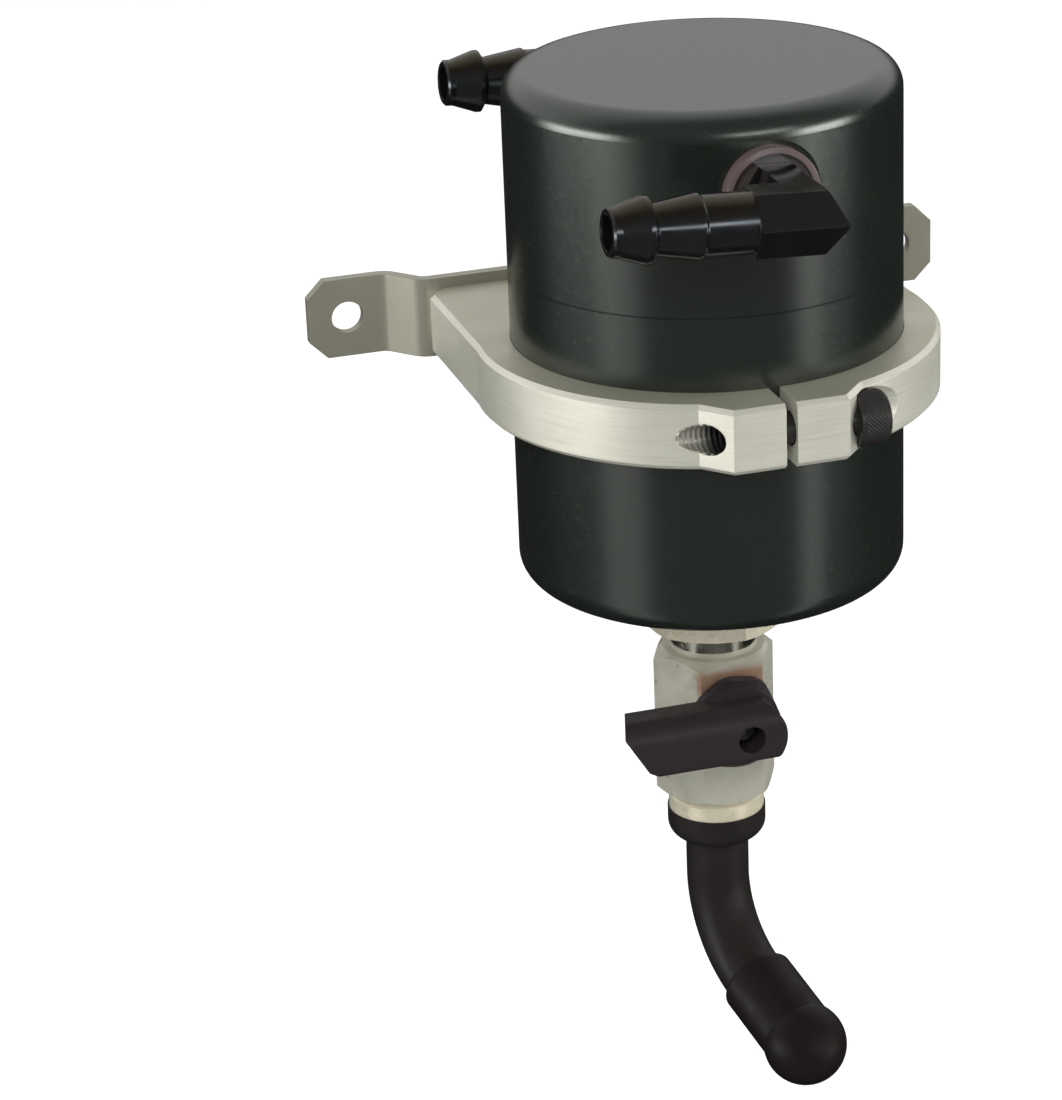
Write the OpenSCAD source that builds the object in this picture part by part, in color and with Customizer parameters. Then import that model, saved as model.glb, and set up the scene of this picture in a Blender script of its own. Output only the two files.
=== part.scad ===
// Oil catch can: a round aluminium can in a split clamp on a wall strap, with two barbed
// elbows at the top and a small ball valve, a drain elbow and a cap at the bottom.
// Millimetres, +Z up, -Y towards the front. The origin is the middle of the strap's two
// wall holes, on the face that meets the wall. Sub-parts are drawn about the can's axis,
// with z = 0 at the can's bottom, and are then put in place by at_can().

/* [Can] */
// Outside diameter of the can
can_d = 76.2; // [72:0.2:84]
// Height of the bowl up to the joint line
bowl_h = 64; // [62:0.5:68]
// Height of the lid from the joint line up
lid_h = 38; // [34:0.5:56]
// Wall of the lid and the bowl
wall = 5.5; // [5:0.1:6]
// Thickness of the bowl's floor at the drain
floor_t = 7; // [6:0.5:9]
// Fall of the bowl's floor towards the drain
floor_fall = 3; // [1:0.5:5]
// Thickness of the lid's top
top_t = 6; // [5:0.5:8]
// Rounding of the lid's top edge
top_round = 5; // [2:0.5:6]
// Rounding of the bowl's bottom edge
bottom_round = 5; // [2:0.5:6]

/* [Screwed joint of lid and bowl] */
// Height of the bowl's screwed neck inside the lid
neck_h = 9; // [8:0.5:11]
// Wall of the bowl's screwed neck
neck_wall = 3; // [2.8:0.1:3.3]
// Thickness of the ring seal
seal_d = 1.7; // [1.5:0.1:1.9]
// Height of the ring seal above the joint line
seal_up = 4; // [3:0.25:6]
// Radial gap of the screwed and pushed fits
fit_gap = 0.05; // [0.03:0.01:0.08]

/* [Ports and elbows] */
// Distance from the lid's top down to the axis of the two ports
port_down = 15.2; // [14:0.2:16]
// Distance from the can's axis to the axis of a barbed leg
leg_out = 54; // [52:0.5:60]
// Length of a barbed leg from the port's axis to its mouth
leg_len = 36.3; // [34:0.1:45]
// Diameter of the elbow's round flange
flange_d = 18.2; // [17:0.2:19]
// Thickness of the elbow's round flange
flange_t = 2.8; // [2:0.2:3.4]
// Depth of the recess in the flange's front
flange_dish = 1.4; // [0.6:0.2:1.8]
// Turn of each elbow about its port, which lifts the mouth
elbow_turn = 3; // [-4:0.5:4]
// Width across flats of the hexagonal corner
elbow_hex = 11.8; // [11.4:0.2:12.2]
// Diameter of the plain stretch of the barbed leg
leg_d = 11.4; // [10.6:0.2:11.4]
// Diameter of the leg's neck behind the barb at the mouth
neck_d = 9.4; // [9:0.2:9.8]
// Diameter over the barb at the mouth
barb_d = 12.4; // [11.6:0.2:13]
// Distance from the mouth back to the foot of the second barb
barb2_back = 17; // [15:0.5:20]
// Diameter over the second barb
barb2_d = 12.2; // [12:0.2:12.8]
// Diameter of the bore through an elbow
elbow_bore = 6.6; // [5.4:0.2:7]
// Diameter of the elbow's threaded spigot
spigot_d = 12; // [11:0.2:13]
// Length of the spigot past the inside of the lid's wall
spigot_in = 3; // [2:0.5:4]

/* [Inlet tube and mesh element] */
// Outside diameter of the inlet tube
tube_d = 11; // [10.6:0.1:12]
// Wall of the inlet tube
tube_t = 1; // [0.8:0.1:1.2]
// Bend radius of the inlet tube
tube_bend = 9; // [8:0.5:10]
// Distance from the can's axis to the inlet tube's down leg
tube_out = 17; // [16:0.5:18]
// Length of the inlet tube below the mesh
tube_drop = 10; // [4:1:14]
// Diameter of the mesh element and its screens
element_d = 64; // [62:0.2:64.4]
// Height of the mesh element
mesh_h = 18; // [12:1:22]
// Distance from the joint line down to the bottom of the mesh
mesh_down = 14; // [12:0.5:16]
// Thickness of a screen
screen_t = 1.5; // [1:0.1:2]
// Diameter of a screen's holes
screen_hole = 4.2; // [3:0.2:4.6]
// Diameter of the element's rod
rod_d = 6; // [5:0.5:6]
// Outside diameter of the spacer above the element
spacer_d = 11; // [9:0.5:12]
// Length of the boss under the lid's top
boss_h = 8; // [6:0.5:9]

/* [Clamp] */
// Height of the clamp
clamp_h = 12.7; // [11.6:0.1:16]
// Height of the clamp's underside above the can's bottom
clamp_z = 37; // [30:0.5:44]
// Thickness of the clamp's ring
clamp_t = 7.1; // [6.6:0.1:8]
// Distance from the can's axis to the clamp's back face
clamp_back = 43.4; // [42.6:0.1:46]
// Cut-off corners at the clamp's back
clamp_corner = 4; // [2:0.5:6]
// Bevel along the clamp's edges
clamp_bevel = 0.9; // [0.4:0.1:1.2]
// Distance from the can's axis to the front of the pinch lugs
lug_front = 47.7; // [47.2:0.1:50]
// Width over the front of the two lugs
lug_w = 22.6; // [21:0.2:25]
// Extra width over the two lugs at their root
lug_spread = 16.2; // [14:0.2:18]
// Width of the slot between the lugs
slot_w = 2.2; // [1.4:0.2:3]
// Thread diameter of the pinch screw
pinch_d = 6; // [5:0.5:6]
// Distance of the seat of the screw's head from the slot's middle
pinch_seat = 13.6; // [13:0.2:14.4]

/* [Strap] */
// Thickness of the strap
strap_t = 2.4; // [1.6:0.1:3]
// Height of the strap
strap_h = 16.4; // [15:0.2:20]
// Length of the strap from end to end
strap_l = 135.2; // [133:0.2:150]
// Distance between the two wall holes
hole_gap = 119; // [117:0.5:121]
// Diameter of the wall holes
wall_hole = 6.6; // [5.4:0.1:7]
// Depth of the strap's jog
jog = 7.1; // [6.6:0.1:9]
// Angle of the jog's webs
jog_angle = 50; // [45:1:60]
// Inside bend radius of the strap
strap_bend = 2.6; // [1.5:0.1:3]
// Where the flat of an ear starts, from the strap's middle
ear_start = 53; // [52.5:0.1:53.5]
// Cut-off corners of the ears
ear_corner = 3.6; // [1:0.2:4.4]
// Distance of each strap screw from the strap's middle
strap_screw_x = 27; // [25:0.5:29]
// Thread diameter of the strap screws
strap_screw_d = 6; // [5:0.5:6]
// Length of the strap's screws inside the clamp
strap_bite = 11; // [8:0.5:13]

/* [Drain adapter] */
// Width across flats of the adapter's hexagon
adapter_hex = 27; // [24:0.5:28]
// Height of the adapter's hexagon
adapter_h = 11; // [10:0.1:14]
// Turn of the hexagon about the can's axis
adapter_turn = -24; // [-60:1:0]
// Thickness of the sealing washer above it
washer_t = 1.2; // [1:0.1:2]
// Thread diameter of the adapter's spigot in the bowl
adapter_thread = 16.6; // [15:0.2:18]
// Thread diameter of the valve's spigot in the adapter
valve_thread = 13.2; // [12:0.2:14]

/* [Ball valve] */
// Width across flats of the valve's hexagon
valve_hex = 22; // [21:0.5:24]
// Length of the valve's hexagon
valve_l = 31.8; // [31:0.2:36]
// Diameter of the round neck above the hexagon
valve_neck_d = 17.5; // [16:0.5:18.5]
// Length of the round neck above the hexagon
valve_neck_l = 5.2; // [4:0.1:6]
// Distance from the hexagon's top to the lever's axis
pivot_down = 11.8; // [11.6:0.1:12.8]
// Diameter of the ball
ball_d = 14; // [13:0.5:14]
// Diameter of the valve's bore
valve_bore = 7; // [5:0.5:7.5]
// Diameter of the stem
stem_d = 6; // [5:0.5:6]
// Diameter of the valve's lower collar
collar_d = 19.4; // [18:0.2:19.4]
// Length of the valve's lower collar
collar_l = 4.1; // [3.6:0.1:5]
// Length of the barbed tail below the collar
tail_l = 9; // [7:0.5:12]

/* [Lever] */
// Width across flats of the lever's eight-sided hub
hub_d = 18.6; // [18:0.2:20]
// Distance from the valve's axis to the back of the hub
hub_back = 12; // [12:0.1:13]
// Distance from the valve's axis to the front of the lever
lever_front = 23; // [20.6:0.2:24]
// Height of the lever's bar
lever_h = 11.2; // [10:0.2:12]
// Height of the bar's top above the lever's axis
lever_up = 6.2; // [5.6:0.2:6.6]
// Rounding of the bar's front edge at the top
lever_round = 4; // [2:0.5:5]
// Length of the lever from its axis to its tip
lever_l = 26; // [24:0.5:32]
// Overhang of the bar past the axis on the other side
lever_over = 7.4; // [7:0.2:9.4]
// Diameter of the deep hole for the lever's screw
lever_hole = 5.6; // [4.6:0.2:6]

/* [Drain elbow and cap] */
// Outside diameter of the drain elbow
drain_d = 12.8; // [12:0.2:13.6]
// Wall of the drain elbow
drain_t = 1.9; // [1.6:0.1:2.1]
// Diameter of its cuff
cuff_d = 20; // [19.4:0.2:22]
// Height of the straight side of the cuff
cuff_h = 3.2; // [2:0.2:5]
// Height of the cuff's rounded foot
cuff_foot = 3.4; // [2.4:0.2:3.4]
// Straight stretch below the cuff
drain_drop = 8.7; // [6:0.1:12]
// Bend radius of the drain elbow
drain_bend = 21; // [18:0.5:26]
// Angle of the drain elbow's bend
drain_angle = 69; // [60:1:75]
// Direction of the drain elbow, seen from above, from +X
drain_turn = -76; // [-90:1:-60]
// Outside diameter of the cap's sleeve
cap_d = 15.4; // [15:0.2:16.2]
// Distance from the cap's open end to the middle of its round end
cap_reach = 19; // [18.5:0.5:24]
// Diameter of the cap's round end
cap_knob_d = 16.9; // [16.6:0.1:18.5]
// Length that the elbow reaches into the cap
cap_grip = 13; // [10:0.5:13.5]

/* [Hidden] */
$fn = 96;
far = 200;
eps = 0.01;

can_h = bowl_h + lid_h;
can_r = can_d / 2;
inner_r = can_r - wall;
neck_r = inner_r + neck_wall;
strap_y = clamp_back + fit_gap;
wall_y = strap_y + strap_t + jog;
strap_mid_z = clamp_z + clamp_h / 2;
joint_gap_z = 0.1;

spot_margin = 1;
port_z = can_h - port_down;
port_face = sqrt(can_r * can_r - pow(flange_d / 2 + spot_margin, 2));
spigot_end = inner_r - spigot_in;

element_r = element_d / 2;
mesh_z = bowl_h - mesh_down;
tube_end_z = mesh_z - tube_drop;
mesh_top = mesh_z + mesh_h;
boss_z = can_h - top_t - boss_h;
rod_reach = 7;
element_nut_h = 5;
rod_tip = 2;

hex_ratio = 1 / cos(30);
clamp_r = can_r + clamp_t;
clamp_half = clamp_r - 0.3;
pinch_y = (can_r + lug_front) / 2 + 0.5;
pinch_head_d = pinch_d * 1.65;
lug_flare = lug_spread / 2 + 1;

adapter_top = -washer_t;
adapter_low = adapter_top - adapter_h;
adapter_thread_l = floor_t - 1;
drain_way = 8.4;
valve_top = adapter_low - valve_neck_l;
valve_low = valve_top - valve_l;
pivot_z = valve_top - pivot_down;
seat_t = 3;
seat_gap = fit_gap;
chamber_r = ball_d / 2 + 1;
seat_top = pivot_z + ball_d / 2 + 0.4;
seat_low = pivot_z - ball_d / 2 - 0.4;
stem_y = -valve_hex / 2;
gland_t = 2.4;
gland_hex = 10;
gland_out = stem_y - gland_t;
seal_t = 1.4;
square_w = stem_d * 0.68;
square_l = 1.8;
stem_proud = 0.6;
stem_tip = gland_out - stem_proud;
ball_slot = 1.6;
slot_floor = ball_d / 2 - ball_slot;
lever_screw_d = 2.5;
lever_screw_head = 4.4;
lever_screw_head_t = 1.3;
lever_web = 0.8;
lever_screw_l = 4;
lever_seat = stem_tip - square_l - lever_web;
hub_t = 4.4;
hub_step = 2.6;
collar_low = valve_low - collar_l;
tail_d = 9.2;
tail_barb_d = 10.2;
cuff_low = collar_low - cuff_h - cuff_foot;
bend_z = cuff_low - drain_drop;

// Puts a sub-part drawn about the can's axis in its place against the wall
module at_can() { translate([0, -wall_y, -strap_mid_z]) children(); }

// Round bar along +X
module bar_x(d, l) { rotate([0, 90, 0]) cylinder(d = d, h = l); }

// Round bar along -Y
module bar_front(d, l) { rotate([90, 0, 0]) cylinder(d = d, h = l); }

// Hexagonal prism with a flat towards -Y
module hex_prism(across, h) { cylinder(d = across * hex_ratio, h = h, $fn = 6); }

// Hexagonal prism whose six corners are turned off at both ends
module turned_hex(across, h, bevel, at_top = true) {
    corner_r = across * hex_ratio / 2;
    rim_r = across / 2 - 0.7;
    intersection() {
        hex_prism(across, h);
        rotate_extrude() polygon([
            [0, 0], [rim_r, 0], [corner_r + 0.2, bevel],
            [corner_r + 0.2, at_top ? h - bevel : h], [at_top ? rim_r : corner_r + 0.2, h], [0, h]
        ]);
    }
}

// Plate of any straight-sided outline, counter-clockwise, bevelled along its edges
module bevelled_plate(points, h, bevel) {
    difference() {
        linear_extrude(h) polygon(points);
        for (i = [0:len(points) - 1]) {
            a = points[i];
            b = points[(i + 1) % len(points)];
            run = norm(b - a);
            for (side = [0, 1])
                translate([a[0], a[1], side * h]) mirror([0, 0, side])
                    rotate(atan2(b[1] - a[1], b[0] - a[0])) translate([-1, 0, 0]) rotate([90, 0, 90])
                        linear_extrude(run + 2) polygon([[-1, -1], [bevel + 1, -1], [-1, bevel + 1]]);
        }
    }
}

// Half section of a round box: a rectangle with one rounded outer corner
module half_section(r, z0, z1, round_top, round_low) {
    difference() {
        translate([0, z0]) square([r, z1 - z0]);
        if (round_top > 0) difference() {
            translate([r - round_top, z1 - round_top]) square(round_top + 1);
            translate([r - round_top, z1 - round_top]) circle(round_top);
        }
        if (round_low > 0) difference() {
            translate([r - round_low, z0 - 1]) square(round_low + 1);
            translate([r - round_low, z0 + round_low]) circle(round_low);
        }
    }
}

module bowl() {
    color("#26292a") difference() {
        rotate_extrude() difference() {
            union() {
                half_section(can_r, 0, bowl_h, 0, bottom_round);
                translate([0, bowl_h - 1]) square([neck_r, neck_h + 1]);
            }
            polygon([
                [0, floor_t], [adapter_thread / 2, floor_t], [inner_r - 3, floor_t + floor_fall],
                [inner_r, floor_t + floor_fall + 3], [inner_r, bowl_h + neck_h + 1], [0, bowl_h + neck_h + 1]
            ]);
            translate([neck_r - seal_d - fit_gap, bowl_h + seal_up - seal_d * 0.6])
                square([seal_d * 2, seal_d * 1.2]);
        }
        translate([0, 0, -1]) cylinder(r = adapter_thread / 2 + fit_gap, h = floor_t + 2);
    }
}

module lid() {
    color("#2b2e2f") difference() {
        rotate_extrude() difference() {
            half_section(can_r, bowl_h, can_h, top_round, 0);
            translate([0, bowl_h - 1]) square([neck_r + fit_gap, neck_h + 1 + joint_gap_z]);
            difference() {
                translate([0, bowl_h]) square([inner_r, can_h - top_t - bowl_h]);
                translate([0, boss_z]) square([spacer_d / 2 + 1, boss_h + 1]);
            }
        }
        translate([0, 0, boss_z - 1]) cylinder(r = rod_d / 2 + fit_gap, h = rod_reach + 2);
        for (back = [0, 1]) mirror([0, back, 0]) translate([0, 0, port_z]) {
            translate([0, -port_face, 0]) bar_front(flange_d + 2 * spot_margin, wall);
            translate([0, -inner_r + 2, 0]) bar_front(spigot_d + 2 * fit_gap, wall + 4);
        }
    }
}

module lid_seal() {
    color("#151515") rotate_extrude()
        translate([neck_r - seal_d / 2, bowl_h + seal_up]) circle(d = seal_d - fit_gap, $fn = 24);
}

// Barbed leg of an elbow along +Z: plain stretch, second barb, cone, first barb and nose
module barbed_leg() {
    crest = 0.4;
    root2 = leg_len - barb2_back;
    top2 = root2 + 0.5;
    root1 = leg_len - 8.2;
    top1 = leg_len - 7.2;
    nose = leg_len - 1.6;
    edge = 0.4;
    nose_r = neck_d / 2 - 0.1;
    rotate_extrude() polygon([
        [0, 2], [leg_d / 2, 2], [leg_d / 2, root2], [barb2_d / 2, top2], [barb2_d / 2, top2 + crest],
        [neck_d / 2, root1], [barb_d / 2, top1], [barb_d / 2, top1 + 2 * crest],
        [nose_r, nose], [nose_r, leg_len - edge], [nose_r - edge, leg_len], [0, leg_len]
    ]);
}

// Half of all space on one side of the elbow's mitre; side = 1 keeps the port's side, -1 the leg's
module mitre_half(side) {
    translate([0, -leg_out, 0]) rotate(-45) translate([-far, (side - 1) / 2 * far, -far])
        cube([2 * far, far, 2 * far]);
}

// Moulded elbow on the -Y side: spigot, dished flange, mitred hexagonal corner and barbed leg to -X
module elbow() {
    hex_end = 9.8;
    difference() {
        union() {
            translate([0, -spigot_end, 0]) bar_front(spigot_d, port_face - spigot_end + eps);
            difference() {
                translate([0, -port_face, 0]) bar_front(flange_d, flange_t);
                translate([0, -port_face - flange_t + flange_dish, 0])
                    bar_front(flange_d - 2.4, flange_dish + 1);
            }
            intersection() {
                translate([0, -port_face - flange_t / 4, 0]) rotate([90, 0, 0]) hex_prism(elbow_hex, leg_out);
                mitre_half(1);
            }
            intersection() {
                translate([elbow_hex, -leg_out, 0]) rotate([0, -90, 0]) rotate(90)
                    hex_prism(elbow_hex, elbow_hex + hex_end);
                mitre_half(-1);
            }
            translate([0, -leg_out, 0]) rotate([0, -90, 0]) barbed_leg();
        }
        translate([0, -spigot_end + 1, 0]) bar_front(elbow_bore, leg_out - spigot_end + 1);
        translate([0, -leg_out, 0]) rotate([0, -90, 0]) cylinder(d = elbow_bore, h = leg_len + 1);
        translate([0, -leg_out, 0]) sphere(d = elbow_bore);
    }
}

module front_elbow() {
    color("#1b1b1f") translate([0, 0, port_z]) rotate([0, elbow_turn, 0]) elbow();
}

module rear_elbow() {
    color("#1b1b1f") translate([0, 0, port_z]) rotate([0, elbow_turn, 0]) mirror([0, 1, 0]) elbow();
}

// Length of pipe along +Z
module pipe(d, t, l) {
    difference() {
        cylinder(d = d, h = l);
        translate([0, 0, -1]) cylinder(d = d - 2 * t, h = l + 2);
    }
}

// Bend of a pipe in the X-Z plane: starts at the origin along -Z and curves towards +X
module pipe_bend(d, t, r, angle) {
    translate([r, 0, 0]) rotate([90, 0, 0]) rotate(180) rotate_extrude(angle = angle)
        translate([r, 0]) difference() {
            circle(d = d);
            circle(d = d - 2 * t);
        }
}

// Pipe with a cup pushed over the inner end of the front spigot, bent down through the mesh
module inlet_tube() {
    cup_r = spigot_d / 2 + fit_gap;
    cup_l = sqrt(pow(inner_r, 2) - pow(cup_r + tube_t, 2)) - spigot_end - 0.2;
    leg = spigot_end - tube_out - tube_bend;
    color("#b9bcbf") {
        translate([0, -spigot_end, port_z]) rotate([-90, 0, 0]) rotate_extrude() polygon([
            [cup_r, -cup_l], [cup_r + tube_t, -cup_l], [cup_r + tube_t, tube_t], [tube_d / 2, tube_t],
            [tube_d / 2, leg], [tube_d / 2 - tube_t, leg], [tube_d / 2 - tube_t, 0], [cup_r, 0]
        ]);
        translate([0, -tube_out, port_z - tube_bend]) rotate(-90) mirror([0, 0, 1])
            pipe_bend(tube_d, tube_t, tube_bend, 90);
        translate([0, -tube_out, tube_end_z]) pipe(tube_d, tube_t, port_z - tube_bend - tube_end_z);
    }
}

module spacer_tube() {
    color("#b9bcbf") translate([0, 0, mesh_top + screen_t]) difference() {
        cylinder(d = spacer_d, h = boss_z - mesh_top - screen_t);
        translate([0, 0, -1]) cylinder(r = rod_d / 2 + fit_gap, h = boss_z - mesh_top + 2);
    }
}

// Hole for the rod and hole for the inlet tube, through anything in the element
module element_holes(z, h) {
    translate([0, 0, z - 1]) cylinder(r = rod_d / 2 + fit_gap, h = h + 2);
    translate([0, -tube_out, z - 1]) cylinder(r = tube_d / 2 + fit_gap, h = h + 2);
}

// Perforated disc: rings of holes, left out where the inlet tube passes
module screen(z) {
    ring_step = 6.6;
    difference() {
        translate([0, 0, z]) cylinder(r = element_r, h = screen_t);
        element_holes(z, screen_t);
        for (ring = [2:1:4]) {
            ring_r = ring * ring_step;
            count = ring * 6;
            for (i = [0:count - 1]) {
                x = ring_r * cos(i * 360 / count);
                y = ring_r * sin(i * 360 / count);
                if (norm([x, y + tube_out]) > (tube_d + screen_hole) / 2 + 0.8)
                    translate([x, y, z - 1]) cylinder(d = screen_hole, h = screen_t + 2);
            }
        }
    }
}

module upper_screen() { color("#c3c5c7") screen(mesh_top); }
module lower_screen() { color("#c3c5c7") screen(mesh_z - screen_t); }

// Knitted mesh pressed into a pad of stacked layers
module mesh_element() {
    layers = 6;
    layer_h = mesh_h / layers;
    dent = 0.5;
    color("#8d8f90") difference() {
        translate([0, 0, mesh_z]) rotate_extrude() union() {
            square([element_r - dent - 0.3, mesh_h]);
            for (i = [0:layers - 1]) translate([0, i * layer_h])
                polygon([[0, 0], [element_r - dent - 0.3, 0], [element_r - 0.3, layer_h * 0.3],
                         [element_r - 0.3, layer_h * 0.7], [element_r - dent - 0.3, layer_h], [0, layer_h]]);
        }
        element_holes(mesh_z, mesh_h);
    }
}

module element_rod() {
    low = mesh_z - screen_t - element_nut_h - rod_tip;
    color("#a9abad") translate([0, 0, low]) cylinder(d = rod_d, h = boss_z + rod_reach - low);
}

module element_nut() {
    color("#a9abad") translate([0, 0, mesh_z - screen_t - element_nut_h]) difference() {
        turned_hex(10, element_nut_h, 0.8);
        translate([0, 0, -1]) cylinder(r = rod_d / 2 + fit_gap, h = element_nut_h + 2);
    }
}

module clamp_ring() {
    lug_foot = lug_w / 2 + lug_spread / 2;
    color("#c9c8bd") translate([0, 0, clamp_z]) difference() {
        union() {
            difference() {
                rotate_extrude() polygon([
                    [can_r - 1, 0], [clamp_r - clamp_bevel, 0], [clamp_r, clamp_bevel],
                    [clamp_r, clamp_h - clamp_bevel], [clamp_r - clamp_bevel, clamp_h], [can_r - 1, clamp_h]
                ]);
                translate([-far / 2, clamp_back - 2 * clamp_bevel, -1]) cube([far, far, clamp_h + 2]);
            }
            bevelled_plate([
                [-clamp_half, 0], [clamp_half, 0], [clamp_half, clamp_back - clamp_corner],
                [clamp_half - clamp_corner * 0.75, clamp_back],
                [clamp_corner * 0.75 - clamp_half, clamp_back],
                [-clamp_half, clamp_back - clamp_corner]
            ], clamp_h, clamp_bevel);
            bevelled_plate([
                [-lug_w / 2, -lug_front], [lug_w / 2, -lug_front], [lug_foot, -lug_front + lug_flare],
                [lug_foot, -can_r + 4], [-lug_foot, -can_r + 4], [-lug_foot, -lug_front + lug_flare]
            ], clamp_h, clamp_bevel);
        }
        translate([0, 0, -1]) cylinder(r = can_r + fit_gap, h = clamp_h + 2);
        translate([-slot_w / 2, -lug_front - 1, -1]) cube([slot_w, lug_front - can_r + 4, clamp_h + 2]);
        translate([0, -pinch_y, clamp_h / 2]) {
            rotate([0, -90, 0]) cylinder(r = pinch_d / 2 + fit_gap, h = clamp_r / 2);
            bar_x(pinch_d + 0.6, pinch_seat + 1);
            translate([pinch_seat, 0, 0]) bar_x(pinch_head_d + 1, clamp_r / 2);
        }
        for (side = [-1, 1]) translate([side * strap_screw_x, clamp_back + 1, clamp_h / 2])
            bar_front(strap_screw_d + 2 * fit_gap, strap_bite + 3);
    }
}

// Socket cap screw along +X, its head seated at x = 0
module cap_screw_x(d, head_d, shank_l) {
    difference() {
        union() {
            translate([-shank_l, 0, 0]) bar_x(d, shank_l + eps);
            rotate([0, 90, 0]) rotate_extrude() polygon([
                [0, 0], [head_d / 2, 0], [head_d / 2, d - 0.5], [head_d / 2 - 0.5, d], [0, d]
            ]);
        }
        translate([d / 2, 0, 0]) rotate([0, 90, 0]) cylinder(d = d * 0.83 * hex_ratio, h = d, $fn = 6);
    }
}

module pinch_screw() {
    color("#2c2b2a") translate([pinch_seat, -pinch_y, clamp_z + clamp_h / 2])
        cap_screw_x(pinch_d, pinch_head_d, pinch_seat + lug_w / 2 - 1);
}

// Middle line of the strap's +X half in X and Y, with its direction in degrees as the third value
function strap_line() =
    let (
        steps = 10,
        mid_r = strap_bend + strap_t / 2,
        web = (jog - 2 * mid_r * (1 - cos(jog_angle))) / sin(jog_angle),
        bend_x = ear_start - 2 * mid_r * sin(jog_angle) - web * cos(jog_angle)
    )
    concat(
        [for (i = [0:steps]) let (a = i * jog_angle / steps)
            [bend_x + mid_r * sin(a), strap_t / 2 + mid_r * (1 - cos(a)), a]],
        [for (i = [steps:-1:0]) let (a = i * jog_angle / steps)
            [ear_start - mid_r * sin(a), jog + strap_t / 2 - mid_r * (1 - cos(a)), a]],
        [[strap_l / 2, jog + strap_t / 2, 0]]
    );

// One side of the middle line, side = 1 towards the wall and -1 towards the can; half = -1 mirrors it
function strap_edge(side, half) =
    [for (p = strap_line())
        [half * (p[0] - side * sin(p[2]) * strap_t / 2), p[1] + side * cos(p[2]) * strap_t / 2]];

function reversed(points) = [for (i = [len(points) - 1:-1:0]) points[i]];

module mounting_strap() {
    color("#a9a697") translate([0, strap_y, strap_mid_z]) difference() {
        translate([0, 0, -strap_h / 2]) linear_extrude(strap_h) polygon(concat(
            strap_edge(-1, 1), reversed(strap_edge(1, 1)), strap_edge(1, -1), reversed(strap_edge(-1, -1))
        ));
        for (side = [-1, 1]) {
            translate([side * hole_gap / 2, far / 2, 0]) bar_front(wall_hole, far);
            translate([side * strap_screw_x, far / 2, 0]) bar_front(strap_screw_d + 0.6, far);
            for (half = [-1, 1]) translate([half * strap_l / 2, 0, side * strap_h / 2]) rotate([0, 45, 0])
                translate([-ear_corner / sqrt(2), -far / 2, -ear_corner / sqrt(2)])
                    cube([ear_corner * sqrt(2), far, ear_corner * sqrt(2)]);
        }
    }
}

// Two button head screws through the strap into the clamp's back
module strap_screws() {
    head_h = strap_screw_d * 0.55;
    head_r = strap_screw_d * 0.86;
    shank = strap_bite + strap_t;
    color("#8f9092") for (side = [-1, 1])
        translate([side * strap_screw_x, strap_y + strap_t, strap_mid_z]) rotate([-90, 0, 0]) difference() {
            union() {
                translate([0, 0, -shank]) cylinder(d = strap_screw_d, h = shank + eps);
                intersection() {
                    cylinder(r = head_r, h = head_h);
                    translate([0, 0, head_h - head_r * 1.45]) sphere(r = head_r * 1.45);
                }
            }
            translate([0, 0, head_h - 2]) cylinder(d = 4 * hex_ratio, h = 3, $fn = 6);
        }
}

module drain_adapter() {
    color("#d8d4bf") difference() {
        union() {
            translate([0, 0, adapter_low]) rotate(adapter_turn)
                turned_hex(adapter_hex, adapter_h, 1.2, false);
            translate([0, 0, adapter_top - eps])
                cylinder(d = adapter_thread, h = washer_t + adapter_thread_l + eps);
        }
        translate([0, 0, adapter_low - 1]) cylinder(r = valve_thread / 2 + fit_gap, h = adapter_h - 0.5);
        translate([0, 0, adapter_low]) cylinder(d = drain_way, h = far);
    }
}

module adapter_washer() {
    color("#b08a55") translate([0, 0, adapter_top]) difference() {
        cylinder(d = adapter_hex - 1.6, h = washer_t);
        translate([0, 0, -1]) cylinder(r = adapter_thread / 2 + fit_gap, h = washer_t + 2);
    }
}

module valve_body() {
    spigot_l = adapter_h - 2;
    color("#b5b8ab") difference() {
        union() {
            translate([0, 0, valve_low]) turned_hex(valve_hex, valve_l, 2);
            translate([0, 0, valve_top - eps]) cylinder(d = valve_neck_d, h = valve_neck_l + eps);
            translate([0, 0, adapter_low - eps]) cylinder(d = valve_thread, h = spigot_l);
        }
        translate([0, 0, pivot_z]) cylinder(d = valve_bore, h = far);
        translate([0, 0, valve_low - 1]) cylinder(r = chamber_r, h = seat_top - valve_low + 1);
        translate([0, 0, pivot_z]) bar_front(stem_d + 2 * fit_gap, far);
    }
}

module valve_tail() {
    tail_low = collar_low - tail_l;
    color("#d6cfae") difference() {
        rotate_extrude() polygon([
            [0, seat_low], [chamber_r - fit_gap, seat_low], [chamber_r - fit_gap, valve_low],
            [collar_d / 2 - 1.1, valve_low], [collar_d / 2, valve_low - 1.2], [collar_d / 2, collar_low],
            [tail_d / 2, collar_low], [tail_d / 2, collar_low - 3], [tail_barb_d / 2, collar_low - 3.4],
            [tail_d / 2 - 0.2, collar_low - 6.4], [tail_d / 2 - 0.2, tail_low + 0.5],
            [tail_d / 2 - 0.7, tail_low], [0, tail_low]
        ]);
        translate([0, 0, tail_low - 1]) cylinder(d = valve_bore - 1, h = far);
    }
}

module ball_seats() {
    color("#ece9df") difference() {
        for (z = [seat_top - seat_t, seat_low]) translate([0, 0, z]) difference() {
            cylinder(r = chamber_r - fit_gap, h = seat_t);
            translate([0, 0, -1]) cylinder(d = valve_bore, h = seat_t + 2);
        }
        translate([0, 0, pivot_z]) sphere(r = ball_d / 2 + seat_gap);
    }
}

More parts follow.
